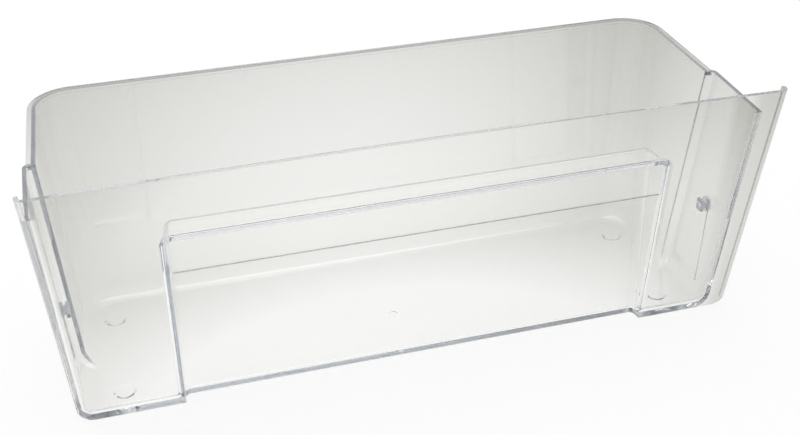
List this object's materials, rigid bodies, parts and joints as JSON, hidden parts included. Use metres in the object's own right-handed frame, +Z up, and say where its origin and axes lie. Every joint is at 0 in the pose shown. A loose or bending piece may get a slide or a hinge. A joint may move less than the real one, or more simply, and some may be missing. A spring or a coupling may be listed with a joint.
{
  "type": "fridge crisper drawer",
  "caption": "Clear moulded fridge crisper drawer: a tapered open tub with a leaning front panel, a pull-up grip recess behind a hanging lip, and a flanged rim that slides on rails.",
  "frame": {"origin": "centre of the bounding box on the plane the feet stand on", "axes": "+X across the drawer to the right, +Y from the front panel to the back, +Z up"},
  "size_m": [0.472, 0.1672, 0.1822],
  "materials": {
    "clear_polystyrene": "clear, glossy, faint grey-green tint"
  },
  "bodies": {
    "root": {"crisper_drawer": "clear_polystyrene"}
  },
  "joints": []
}
